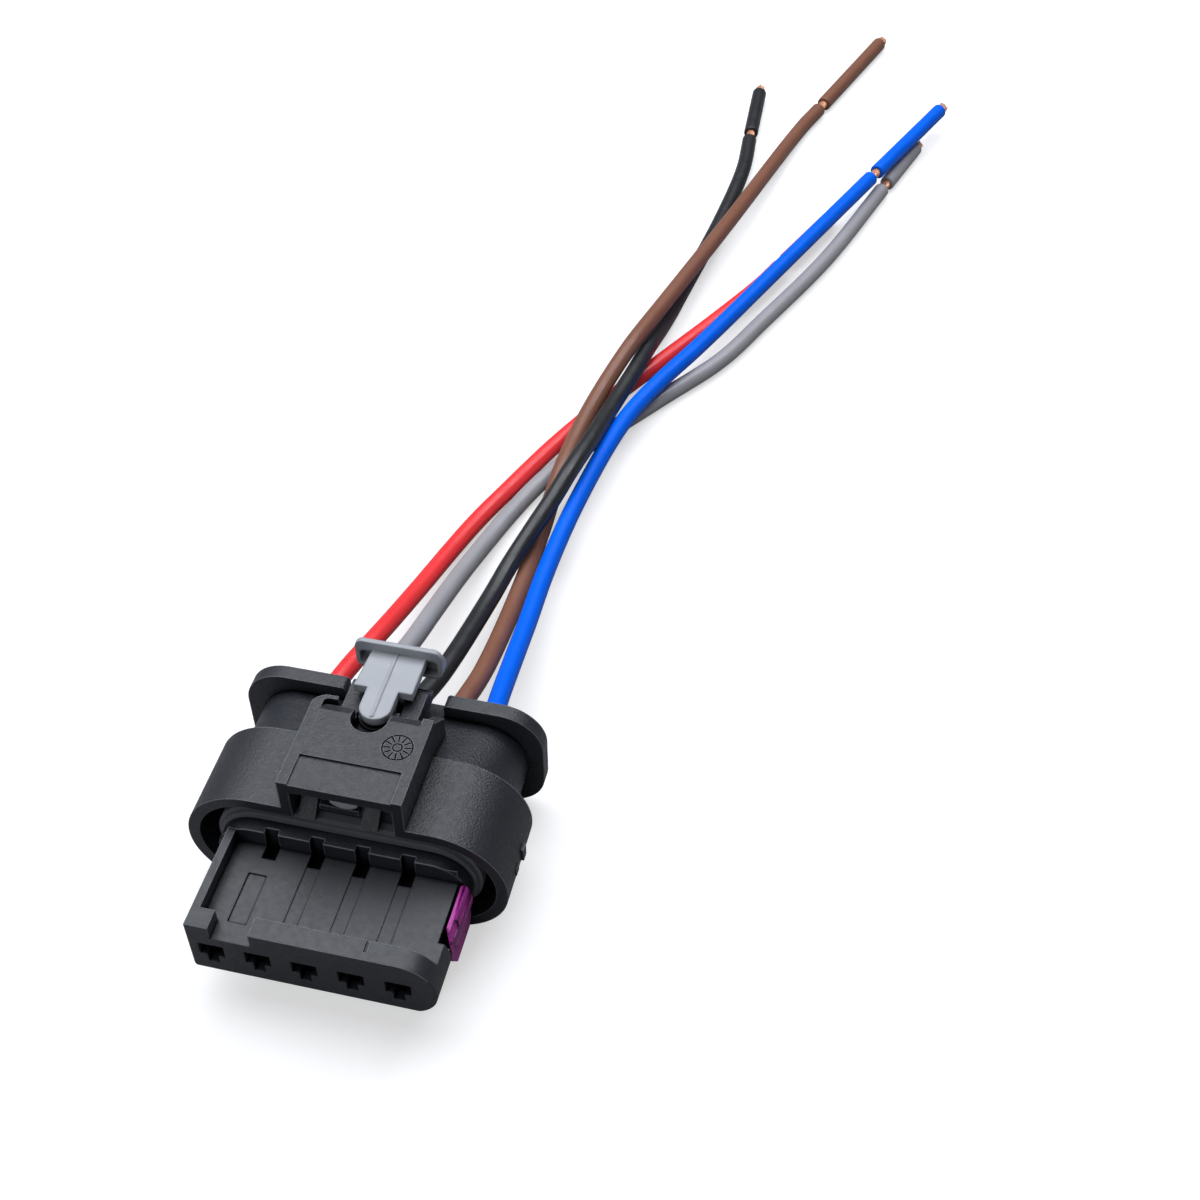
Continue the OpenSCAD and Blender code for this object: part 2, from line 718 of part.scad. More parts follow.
// Rod of a given length and radius on the latch's pivot axis
module along_pivot(length, r) {
    translate([arch_x - length / 2, pivot_y, pivot_z])
        rotate([0, 90, 0])
            cylinder(r = r, h = length);
}

// Black moulding that holds everything else
module housing() {
    color(black_plastic)
        difference() {
            union() {
                nose_body();
                seal_seat();
                shroud();
                rear_body();
                flange();
                arch();
                arch_curl();
            }
            nose_top_cuts();
            nose_bottom_cuts();
            nose_edge_cut();
            contact_cuts();
            arch_cuts();
        }
}

// Latch lever with prongs in front, rails behind and a loop over the lock's beam
module latch_arm() {
    color(black_plastic) {
        difference() {
            union() {
                block([arch_x - latch_w / 2, latch_front, latch_z], [arch_x + latch_w / 2, tail_y, latch_top]);
                block([arch_x - latch_tail_w / 2, latch_front, latch_z],
                      [arch_x + latch_tail_w / 2, latch_rear, latch_top]);
            }
            translate([arch_x - catch_w / 2, catch_y, latch_z - eps])
                cube([catch_w, catch_len, latch_t + 2 * eps]);
        }
        block([prong_x[0] + prong_w / 2 + 0.5, prong_y + 0.7, latch_z],
              [prong_x[1] - prong_w / 2 - 0.25, latch_front + eps, latch_top - 0.4]);
        for (x = prong_x)
            along_x(x - prong_w / 2, x + prong_w / 2)
                prong_outline();
        for (x = [arch_x - latch_tail_w / 2, arch_x + latch_tail_w / 2 - rail_w])
            along_x(x, x + rail_w)
                rail_outline();
        latch_loop();
        along_pivot(arch_inner + 2 * pivot_len, pivot_r);
    }
}

// Side view of a rail, with its rear end rounded
module rail_outline() {
    difference() {
        translate([tail_y, latch_top - eps])
            square([latch_rear - rail_short - tail_y, rail_h + eps]);
        corner_cut(latch_rear - rail_short, latch_top + rail_h, -1, rail_r, -1);
    }
}

// Side view of a prong: a lead-in face at 45 degrees
module prong_outline() {
    rise = latch_top - prong_tip;
    polygon([
        [prong_y, prong_tip],
        [prong_y + rise, latch_top],
        [latch_front + 1, latch_top],
        [latch_front + 1, latch_z],
        [prong_y + latch_z - prong_tip + 1.4 * prong_t, latch_z],
        [prong_y + 0.7 * prong_t, prong_tip - 0.7 * prong_t]
    ]);
}

// Loop on the latch arm that keeps the position lock's beam down, with a shelf in front of it
module latch_loop() {
    half = beam_w / 2 + loop_side;
    translate([arch_x, 0, loop_z])
        linear_extrude(loop_t)
            intersection() {
                union() {
                    translate([0, loop_y])
                        circle(half + loop_wall / 2);
                    translate([-half - loop_wall, loop_y])
                        square([2 * (half + loop_wall), loop_rear - loop_y]);
                }
                translate([-far, loop_rear - far])
                    square([2 * far, far]);
            }
    translate([arch_x - half, loop_y - shelf_len, loop_z])
        cube([2 * half, shelf_len, shelf_t]);
    for (x = [-half - loop_wall, half])
        translate([arch_x + x, loop_y, latch_top - eps])
            cube([loop_wall, loop_rear - loop_y, loop_z - latch_top + 2 * eps]);
}

// Grey sliding lock: plate with a round tongue, thumb bar, keel and a beam under the arch
module position_lock() {
    plate_end = lock_rear + thumb_len - thumb_wall;
    color("#a6abb3")
        translate([arch_x, 0, 0]) {
            translate([0, 0, lock_under])
                linear_extrude(lock_t) {
                    polygon([
                        [-lock_w / 2, lock_front],
                        [lock_w / 2, lock_front],
                        [lock_w / 2, lock_rear + thumb_lip],
                        [-lock_w / 2 + lock_taper, lock_rear + thumb_lip]
                    ]);
                    translate([-tongue_r, lock_front - tongue_len + tongue_r])
                        square([2 * tongue_r, tongue_len]);
                    translate([0, lock_front - tongue_len + tongue_r])
                        circle(tongue_r);
                }
            thumb_bar();
            block([-keel_w / 2, keel_y, beam_z], [keel_w / 2, plate_end + eps, lock_under + eps]);
            block([-beam_w / 2, beam_front + beam_tip_len - eps, beam_z],
                  [beam_w / 2, keel_y + eps, beam_z + beam_t]);
            along_y(beam_front, beam_front + beam_tip_len)
                beam_tip_outline();
            block([-rib_w / 2, lock_front - tongue_len + rib_w, lock_top - eps],
                  [rib_w / 2, lock_rear + eps, lock_top + rib_h]);
        }
}

// Thumb bar: an upright lip that thickens downwards, with a hollow in front below the plate's top
module thumb_bar() {
    difference() {
        intersection() {
            thumb_front(thumb_w, thumb_bottom, thumb_top, thumb_r);
            along_x(-far, far)
                thumb_side(lock_rear, lock_rear + thumb_lip, lock_rear + thumb_len);
        }
        intersection() {
            thumb_front(thumb_w - 2 * thumb_wall, thumb_bottom + thumb_wall, lock_top - thumb_wall / 2,
                        thumb_r / 2);
            along_x(-far, far)
                translate([-thumb_wall, 0])
                    thumb_side(lock_rear - 1, lock_rear + thumb_lip, lock_rear + thumb_len);
        }
    }
}

// Front view of the thumb bar, or of its hollow, carried along Y
module thumb_front(w, bottom, top, r) {
    along_y(lock_rear - 1, lock_rear + thumb_len + 1)
        translate([thumb_x, (bottom + top) / 2])
            round_box(w, top - bottom, r);
}

// Side view of the thumb bar: upright in front, sloping behind
module thumb_side(front, lip, foot) {
    polygon([
        [front, thumb_bottom - 1],
        [front, thumb_top + 1],
        [lip, thumb_top + 1],
        [lip, thumb_top - thumb_lip],
        [foot, thumb_top - thumb_lip - thumb_slope],
        [foot, thumb_bottom - 1]
    ]);
}

// Front view of the beam's tip: flat on top, bellied below
module beam_tip_outline() {
    intersection() {
        translate([-beam_w / 2, beam_z - beam_tip_drop])
            square([beam_w, beam_t + beam_tip_drop]);
        translate([0, beam_z - beam_tip_drop + beam_belly_r])
            circle(beam_belly_r);
    }
}

// Purple cross lock: bar under the nose with a plate at its side
module terminal_lock() {
    color("#97329b") {
        difference() {
            union() {
                block([bar_x, -bar_back - bar_len, bar_z], [plate_x + eps, -bar_back, bar_z + bar_h]);
                translate([bump_x, -bar_back - bar_len + bump_r - bump_proud, bar_z])
                    cylinder(r = bump_r, h = bar_h);
                intersection() {
                    along_x(plate_x, far / 2)
                        plate_outline();
                    along_y(plate_y0 - 1, plate_y1 + 1)
                        plate_section(nose_top + pad_t);
                }
            }
            pad_relief();
            block([spring_slot[0], -bar_back - bar_len + 0.9, bar_z - eps],
                  [spring_slot[1], -bar_back - 0.35, bar_z + bar_h + eps]);
            translate([plate_x, plate_y0, bar_z + bar_h])
                linear_extrude(far / 4)
                    polygon([[-eps, -eps], [lead_w, -eps], [-eps, lead_len]]);
            along_y(plate_y0 - eps, plate_y1 + eps) {
                corner_cut(plate_x + plate_t, bar_z, -1, lock_edge_r);
                corner_cut(bar_x, bar_z, 1, lock_edge_r);
            }
            translate([row_half, plate_y0 + dent_y, 0])
                rotate([0, 90 - dent_angle, 0])
                    translate([0, 0, nose_top + pad_t - dent_depth])
                        linear_extrude(1)
                            round_box(dent_w, dent_len, dent_w / 2 - 0.05);
        }
    }
}

// Section of the side plate: flat towards the nose, round outside like the nose's end, with a flat foot
module plate_section(r) {
    reach = plate_x + plate_t - row_half;
    foot = bar_z + sqrt(max(0, r * r - reach * reach));
    intersection() {
        translate([plate_x, bar_z])
            square([far, plate_top - bar_z]);
        union() {
            translate([row_half, 0])
                circle(r);
            translate([plate_x, bar_z])
                square([plate_t, -foot]);
        }
    }
}

// Side view of the cross lock's plate
module plate_outline() {
    polygon([
        [-bar_back, bar_z],
        [plate_y1, bar_z + bar_h],
        [plate_y1, plate_top - 0.4],
        [plate_y1 - 0.4, plate_top],
        [plate_y0 + 1.2, plate_top],
        [plate_y0, plate_top - 1.6],
        [plate_y0, bar_z + 3.0],
        [plate_y0 + 1.9, bar_z]
    ]);
}

// What is taken off the plate in front of and below its raised pad
module pad_relief() {
    difference() {
        along_x(plate_x + plate_t / 2, far / 2)
            relief_outline();
        along_y(plate_y0 - 2, plate_y1 + 2)
            translate([row_half, 0])
                circle(nose_top);
        block([plate_x, plate_y0 - 2, bar_z - 1], [plate_x + plate_t, plate_y1 + 2, 0]);
    }
}

// Side view of that relief
module relief_outline() {
    polygon([
        [plate_y1 + 1, bar_z + 2.2],
        [plate_y1 + 1, bar_z - 0.5],
        [plate_y0 - 1, bar_z - 0.5],
        [plate_y0 - 1, plate_top + 1],
        [plate_y0 + 1.1, plate_top + 1],
        [plate_y0 + 0.5, plate_top - 0.3],
        [plate_y0 + 0.3, plate_top - 0.8],
        [plate_y0 + 0.5, plate_top - 1.7],
        [plate_y0 + 2.2, bar_z + 2.2]
    ]);
}

// Grey silicone ring on the seat behind the lip, with two ribs
module interface_seal() {
    inner_w = 2 * (row_half + seat_margin + seal_gap);
    inner_h = seat_h + 2 * seal_gap;
    rib_len = seal_len / 5;
    color("#8b8e93")
        difference() {
            union() {
                along_y(seal_y, seal_y + seal_len)
                    round_box(inner_w + 2 * seal_t, inner_h + 2 * seal_t, inner_h / 2 + seal_t - 0.1);
                for (y = [rib_len / 2, 3 * rib_len])
                    along_y(seal_y + y, seal_y + y + rib_len)
                        round_box(inner_w + 2 * (seal_t + seal_rib), inner_h + 2 * (seal_t + seal_rib),
                                  inner_h / 2 + seal_t + seal_rib - 0.1);
            }
            along_y(seal_y - eps, seal_y + seal_len + eps)
                round_box(inner_w, inner_h, inner_h / 2 - 0.1);
        }
}

// Tin-plated receptacle: hollow box in front, neck, and crimped barrel behind
module terminal(i) {
    box_end = terminal_front + terminal_box_len;
    color("silver")
        translate([way_x[i], 0, 0]) {
            difference() {
                block([-terminal_box_w / 2, terminal_front, terminal_bottom],
                      [terminal_box_w / 2, box_end, terminal_top]);
                block([-terminal_box_w / 2 + terminal_wall, terminal_front - eps,
                       terminal_bottom + 2 * terminal_wall],
                      [terminal_box_w / 2 - terminal_wall, box_end - 1, terminal_top - terminal_wall]);
                block([-0.1, terminal_front - eps, terminal_bottom - eps],
                      [0.1, box_end + eps, terminal_bottom + terminal_wall]);
                block([0.55, box_end - 2.2, terminal_bottom - eps], [terminal_box_w, box_end + eps, -0.4]);
            }
            block([-neck_w / 2, box_end - eps, terminal_top - neck_t],
                  [neck_w / 2, barrel_y + eps, terminal_top]);
            along_y(barrel_y, wire_start)
                circle(d = barrel_d);
        }
}

// Ribbed silicone plug round one wire
module wire_seal(i) {
    outer = seal_bore_d / 2 - plug_gap;
    inner = wire_d / 2 + wire_gap;
    step = (plug_y1 - plug_y0) / (2 * plug_ribs + 1);
    color("#5d6a75")
        translate([way_x[i], plug_y0, 0])
            rotate([-90, 0, 0])
                rotate_extrude() {
                    translate([inner, 0])
                        square([outer - plug_rib - inner, plug_y1 - plug_y0]);
                    for (k = [0:plug_ribs - 1])
                        translate([inner, step * (2 * k + 1)])
                            square([outer - inner, step]);
                }
}

// Route of one wire in the part's own frame
function route(i) = [for (p = routes[i]) [p[0], p[1], p[2] + floor_z]];

function unit(v) = v / norm(v);

// Direction of the route at one of its points
function heading(points, k) =
    k == 0 ? unit(points[1] - points[0]) :
    k == len(points) - 1 ? unit(points[k] - points[k - 1]) :
    unit(unit(points[k + 1] - points[k]) + unit(points[k] - points[k - 1]));

// Ring of points round p, square to the direction d
function ring(p, d, r) =
    let (side = unit(cross([0, 0, 1], d)), up = cross(d, side))
    [for (k = [0:sides - 1]) p + r * (cos(k * 360 / sides) * side + sin(k * 360 / sides) * up)];

// Closed tube along a list of points
module tube(points, r) {
    last = len(points) - 1;
    rings = [for (k = [0:last]) each ring(points[k], heading(points, k), r)];
    walls = [
        for (k = [0:last - 1], s = [0:sides - 1])
            let (a = k * sides + s, b = k * sides + (s + 1) % sides)
            each [[a, a + sides, b], [b, a + sides, b + sides]]
    ];
    caps = [[for (s = [0:sides - 1]) s], [for (s = [sides - 1:-1:0]) last * sides + s]];
    polyhedron(rings, concat(walls, caps));
}

// Insulated wire from the crimp to the end of its insulation
module wire(i, paint) {
    color(paint)
        tube(route(i), wire_d / 2);
}

// Turns what stands on XY into what runs on from the end of a wire
module at_wire_end(i) {
    points = route(i);
    d = heading(points, len(points) - 1);
    translate(points[len(points) - 1])
        rotate([0, 90, atan2(d[1], d[0])])
            children();
}

// Copper strands that show at a wire's end
module core(i) {
    color("#c97b4a")
        at_wire_end(i)
            cylinder(d = core_d, h = bare_len + sleeve_len[i] + tip_len);
}

// Slug of insulation pushed along the strands
module sleeve(i, paint) {
    color(paint)
        at_wire_end(i)
            translate([0, 0, bare_len])
                difference() {
                    cylinder(d = wire_d, h = sleeve_len[i]);
                    translate([0, 0, -eps])
                        cylinder(d = core_d + 2 * wire_gap, h = sleeve_len[i] + 2 * eps);
                }
}

paints = ["#e23a3e", "#8c8f95", "#26282b", "#7a5546", "#0b56e0"];

housing();
latch_arm();
position_lock();
terminal_lock();
interface_seal();
for (i = [0:ways - 1]) {
    wire_seal(i);
    terminal(i);
    wire(i, paints[i]);
    core(i);
    sleeve(i, paints[i]);
}
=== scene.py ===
"""Looks of a five-way sealed plug connector with latch, locks, seals and pigtail wires.

Lengths are in millimetres until they reach Blender, which takes metres.
X runs along the row of contacts, -Y is the mating side and +Z is up.
"""
import math

import bmesh
import bpy
import numpy as np
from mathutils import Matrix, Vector


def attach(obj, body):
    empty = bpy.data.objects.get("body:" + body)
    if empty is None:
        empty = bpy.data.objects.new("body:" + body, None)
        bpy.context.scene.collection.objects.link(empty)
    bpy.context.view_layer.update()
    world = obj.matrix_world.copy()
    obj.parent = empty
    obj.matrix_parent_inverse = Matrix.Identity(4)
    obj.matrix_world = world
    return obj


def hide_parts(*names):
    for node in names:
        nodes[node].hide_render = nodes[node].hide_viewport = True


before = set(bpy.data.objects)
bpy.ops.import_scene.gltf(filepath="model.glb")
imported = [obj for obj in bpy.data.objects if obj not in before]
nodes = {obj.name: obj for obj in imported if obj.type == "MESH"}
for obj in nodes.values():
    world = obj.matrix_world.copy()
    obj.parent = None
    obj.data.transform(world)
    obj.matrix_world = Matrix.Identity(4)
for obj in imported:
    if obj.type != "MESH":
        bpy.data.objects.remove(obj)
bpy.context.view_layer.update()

MM = 0.001
WAYS = 5
FLOOR_Z = -8.0
WIRE_R = 1.2
CORE_R = 0.75
BARE_LEN = 2.0
TIP_LEN = 1.5
WHITE = (1, 1, 1, 1)
RNG = np.random.default_rng(11)

scene = bpy.context.scene
scene.view_settings.view_transform = "Standard"


def srgb(r, g, b):
    """Linear colour of an sRGB colour given from 0 to 255."""
    out = []
    for v in (r / 255, g / 255, b / 255):
        out.append(v / 12.92 if v <= 0.04045 else ((v + 0.055) / 1.055) ** 2.4)
    return (*out, 1.0)


def shade(colour, factor):
    """A colour made darker or lighter."""
    return (*(min(1.0, c * factor) for c in colour[:3]), 1.0)


# Camera at the photograph's angle, in metres and degrees

CAMERA_PLACE = (0.05028, -0.09692, 0.15211)
CAMERA_PITCH = 46.458
CAMERA_YAW = 13.065
FOCAL_PX = 1714.8
FRAME_PX = 1200
SENSOR_W = 36

camera_data = bpy.data.cameras.new("camera")
camera_data.sensor_width = SENSOR_W
camera_data.sensor_fit = "HORIZONTAL"
camera_data.lens = FOCAL_PX / FRAME_PX * SENSOR_W
camera_data.clip_start = 0.005
camera_data.clip_end = 20
camera = bpy.data.objects.new("camera", camera_data)
camera.location = CAMERA_PLACE
camera.rotation_euler = (math.radians(90 - CAMERA_PITCH), 0, math.radians(CAMERA_YAW))
scene.collection.objects.link(camera)
scene.camera = camera


# Mesh helpers

SMOOTH_ANGLE = 40
SPLINE_STEPS = 24
PATH_STEP = 0.6
END_EDGE = 0.22
END_STEPS = 5
# Depth into a cut end and how far the hole is wider than the strands there
HOLE_STEPS = ((0.02, 0.05), (0.12, 0), (1.0, 0))


def add_mesh(name, verts, faces, sharp_angle=SMOOTH_ANGLE):
    """Mesh object from points in millimetres, smooth except at edges sharper than the angle."""
    mesh = bpy.data.meshes.new(name)
    mesh.from_pydata([tuple(np.asarray(v) * MM) for v in verts], [], faces)
    mesh.validate()
    bm = bmesh.new()
    bm.from_mesh(mesh)
    bmesh.ops.recalc_face_normals(bm, faces=bm.faces)
    bm.to_mesh(mesh)
    bm.free()
    mesh.shade_smooth()
    mesh.set_sharp_from_angle(angle=math.radians(sharp_angle))
    obj = bpy.data.objects.new(name, mesh)
    scene.collection.objects.link(obj)
    return obj


def smooth_path(points):
    """Evenly spaced points on a centripetal spline through the route's points."""
    p = np.array(points, float)
    p = np.vstack([2 * p[0] - p[1], p, 2 * p[-1] - p[-2]])
    dense = []
    for k in range(1, len(p) - 2):
        q = p[k - 1:k + 3]
        t = np.r_[0, np.cumsum(np.linalg.norm(np.diff(q, axis=0), axis=1) ** 0.5)]
        for u in np.linspace(t[1], t[2], SPLINE_STEPS, endpoint=False):
            a = [q[i] + (q[i + 1] - q[i]) * (u - t[i]) / (t[i + 1] - t[i]) for i in range(3)]
            b = [a[i] + (a[i + 1] - a[i]) * (u - t[i]) / (t[i + 2] - t[i]) for i in range(2)]
            dense.append(b[0] + (b[1] - b[0]) * (u - t[1]) / (t[2] - t[1]))
    dense.append(p[-2])
    dense = np.array(dense)
    s = np.r_[0, np.cumsum(np.linalg.norm(np.diff(dense, axis=0), axis=1))]
    even = np.linspace(0, s[-1], max(2, round(s[-1] / PATH_STEP) + 1))
    path = np.c_[[np.interp(even, s, dense[:, k]) for k in range(3)]].T
    path[:, 2] = np.maximum(path[:, 2], FLOOR_Z + WIRE_R)
    return path


def frames_along(path):
    """Two side directions at each point of a path, without twist."""
    tangents = np.gradient(path, axis=0)
    tangents /= np.linalg.norm(tangents, axis=1)[:, None]
    side = np.cross(tangents[0], [0, 0, 1.0])
    side /= np.linalg.norm(side)
    sides = []
    for t in tangents:
        side = side - t * side.dot(t)
        side /= np.linalg.norm(side)
        sides.append(side)
    sides = np.array(sides)
    return sides, np.cross(tangents, sides)


def sweep(path, profile, around=24):
    """Points and faces of a round body along a path; profile lists (length along it, radius)."""
    s = np.r_[0, np.cumsum(np.linalg.norm(np.diff(path, axis=0), axis=1))]
    a, b = frames_along(path)
    turn = np.arange(around) * 2 * math.pi / around
    verts, faces = [], []
    for length, radius in profile:
        mid, u, v = ([np.interp(length, s, m[:, k]) for k in range(3)] for m in (path, a, b))
        mid, u, v = np.array(mid), np.array(u), np.array(v)
        verts += [mid + radius * (math.cos(w) * u + math.sin(w) * v) for w in turn]
    for k in range(len(profile) - 1):
        near, far = k * around, (k + 1) * around
        for i in range(around):
            j = (i + 1) % around
            faces.append((near + i, near + j, far + j, far + i))
    last = (len(profile) - 1) * around
    faces.append(tuple(range(around - 1, -1, -1)))
    faces.append(tuple(range(last, last + around)))
    return verts, faces


def end_round(length, out=1):
    """Profile of a rounded insulation end with a hole round the strands; out is -1 at a near end."""
    made = []
    for k in range(END_STEPS + 1):
        w = k / END_STEPS * math.pi / 2
        made.append((length - out * END_EDGE * (1 - math.sin(w)), WIRE_R - END_EDGE * (1 - math.cos(w))))
    made += [(length - out * depth, CORE_R + wider) for depth, wider in HOLE_STEPS]
    return made


# Wires: each route runs from the crimp to the end of its insulation.
# The third number is the height above the floor.

ROUTES = {
    "red": [
        (-10, 8, 8), (-10, 20, 8), (-9.5, 24, 7.8), (-8.8, 28.5, 7.1),
        (-7.9, 33, 6.3), (-7.1, 38.6, 4.9), (-5.9, 46.8, 3.1), (-4.7, 54, 1.9),
        (-3, 61, 1.3), (-0.7, 67.5, 1.2), (3.3, 78, 1.2), (8.4, 89, 1.2),
        (14.5, 100.5, 1.2), (20, 111, 1.2), (25, 121.2, 1.2), (27.2, 126.8, 1.2)],
    "grey": [
        (-5, 8, 8), (-5, 20, 8), (-4.5, 24.5, 7.9), (-3.9, 29, 7.4),
        (-3.2, 33.6, 6.6), (-2.7, 40.5, 4.9), (-1.9, 49, 3), (-0.6, 57, 1.7),
        (1.1, 64, 1.2), (3.4, 70.5, 1.2), (6.6, 77, 1.2), (15.4, 90.8, 1.2),
        (22.4, 101.6, 1.2), (27.1, 112.7, 1.2), (34, 130.2, 1.2), (40.4, 152, 1.2)],
    "black": [
        (0, 8, 8), (0, 20, 8), (1.7, 30, 6.2), (3.1, 44.8, 3.7),
        (4, 51.5, 3.7), (5.4, 57.2, 4.6), (6.8, 62.8, 5.4), (7.9, 68, 6.1),
        (9.1, 75.6, 5.7), (10.1, 84.6, 4.5), (11.2, 92.4, 4), (11.9, 98.8, 3.5),
        (12.9, 110.5, 1.3), (16, 137, 1.2), (17, 153, 1.2), (16.5, 162.2, 1.2)],
    "brown": [
        (5, 8, 8), (5, 20, 8), (5.6, 25, 7.2), (6.2, 31, 5.9),
        (6.1, 47.4, 2.6), (5.7, 61, 1.2), (5.8, 65.7, 2.3), (6.1, 70.4, 3.7),
        (6.4, 77, 3.8), (7.2, 84.2, 4.1), (8.4, 90.4, 4.8), (10, 97, 5.6),
        (12.7, 109.2, 5.1), (18, 134, 3.7), (24.4, 167, 1.2), (26.7, 174.6, 1.2)],
    "blue": [
        (10, 8, 8), (10, 20, 8), (9.5, 26.5, 7), (9.2, 34, 5.7),
        (9, 41.7, 4.6), (8.8, 49.5, 3.9), (9, 57.3, 3.6), (9.6, 65.2, 3.6),
        (11.3, 78, 3.7), (12.8, 84.8, 3.7), (15.4, 92.2, 3.7), (18.7, 100.3, 3.5),
        (21.9, 108.7, 3.3), (25.1, 117.1, 3.3), (32, 134.6, 3.6), (38.4, 151.1, 3.7)],
}
SLUG_LEN = {"red": 13, "grey": 12.5, "black": 13.5, "brown": 24.5, "blue": 23}

# Rings of the wires' meshes, and how far their plain part stops before a rounded end
RING_STEP = 0.9
WIRE_CLEAR = 0.3
SLUG_RINGS = 16
SLUG_CLEAR = 0.5
SLUG_POINTS = 40

# Copper strands: radius, turn and number of each ring, from the middle strand outwards
STRAND_R = 0.145
STRAND_RINGS = ((0, 0, 1), (2 * STRAND_R, 0, 6), (4 * STRAND_R, math.pi / 12, 12))
STRAND_STEP = 0.5
STRAND_TURN = 9.0
STRAND_SMOOTH_ANGLE = 50
STRAND_INSIDE = 0.8
CUT_LEN = 0.02
CUT_TAPER = 0.85


def strand_bundle(name, start, way, length):
    """Nineteen twisted copper strands from start along way, spread a little at the tip."""
    up = np.array([0, 0, 1.0])
    side = np.cross(way, up)
    side /= np.linalg.norm(side)
    up = np.cross(side, way)
    verts, faces = [], []
    count = round(length / STRAND_STEP)
    for radius, shift, number in STRAND_RINGS:
        for k in range(number):
            reach = length + RNG.uniform(-0.25, 0.08)
            splay = RNG.uniform(0.05, 0.32)
            path = []
            for s in np.linspace(0, reach, count):
                w = shift + k * 2 * math.pi / number + s / STRAND_TURN * 2 * math.pi
                r = radius * (1 + splay * max(0, s - length + TIP_LEN) / TIP_LEN)
                path.append(start + way * s + r * (math.cos(w) * side + math.sin(w) * up))
            path = np.array(path)
            total = np.linalg.norm(np.diff(path, axis=0), axis=1).sum()
            profile = [(t, STRAND_R) for t in np.linspace(0, total - CUT_LEN, count)]
            profile.append((total, STRAND_R * CUT_TAPER))
            v, f = sweep(path, profile, around=8)
            faces += [tuple(i + len(verts) for i in face) for face in f]
            verts += v
    return add_mesh(name, verts, faces, STRAND_SMOOTH_ANGLE)


wires, strands, slugs = {}, {}, {}
for colour, route in ROUTES.items():
    points = [(x, y, h + FLOOR_Z) for x, y, h in route]
    path = smooth_path(points)
    length = np.linalg.norm(np.diff(path, axis=0), axis=1).sum()
    profile = [(t, WIRE_R) for t in np.linspace(0, length - WIRE_CLEAR, round(length / RING_STEP))]
    profile += end_round(length)
    wire = add_mesh("insulation_" + colour, *sweep(path, profile))
    end = np.array(points[-1], float)
    way = end - np.array(points[-2], float)
    way /= np.linalg.norm(way)
    whole = BARE_LEN + SLUG_LEN[colour] + TIP_LEN
    strands[colour] = strand_bundle("strands_" + colour, end - way * STRAND_INSIDE, way,
                                    whole + STRAND_INSIDE)
    first, second = BARE_LEN, BARE_LEN + SLUG_LEN[colour]
    slug_path = np.array([end + way * t for t in np.linspace(0, second + 1, SLUG_POINTS)])
    slug_profile = list(reversed(end_round(first, out=-1)))
    slug_span = np.linspace(first + SLUG_CLEAR, second - SLUG_CLEAR, SLUG_RINGS)
    slug_profile += [(t, WIRE_R) for t in slug_span]
    slug_profile += end_round(second)
    slugs[colour] = add_mesh("slug_" + colour, *sweep(slug_path, slug_profile))
    for piece, node in ((wire, "wire_"), (strands[colour], "core_"), (slugs[colour], "sleeve_")):
        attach(piece, "housing")
        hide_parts(node + colour)
    wires[colour] = wire


# Materials: texture scales are per metre


class Tree:
    """The cleared node tree of a material or a world, with short ways to add and join nodes."""

    def __init__(self, owner):
        owner.use_nodes = True
        self.nodes = owner.node_tree.nodes
        self.links = owner.node_tree.links
        self.nodes.clear()

    def add(self, kind, settings=None, **inputs):
        """New node; the spaces in an input's name are written as underscores."""
        node = self.nodes.new(kind)
        for key, value in (settings or {}).items():
            setattr(node, key, value)
        for key, value in inputs.items():
            self.set(node.inputs[key.replace("_", " ")], value)
        return node

    def set(self, socket, value):
        """Links an output to a socket, or sets the socket's own value."""
        if isinstance(value, bpy.types.NodeSocket):
            self.links.new(value, socket)
        else:
            socket.default_value = value

    def camera_ray(self):
        """1 for what the camera sees directly, 0 for light that bounces."""
        return self.add("ShaderNodeLightPath").outputs["Is Camera Ray"]

    def choose(self, factor, a, b):
        """Shader a where the factor is 0 and b where it is 1; a may be None for nothing."""
        node = self.add("ShaderNodeMixShader")
        for socket, value in zip(node.inputs, (factor, a, b)):
            if value is not None:
                self.set(socket, value)
        return node.outputs[0]


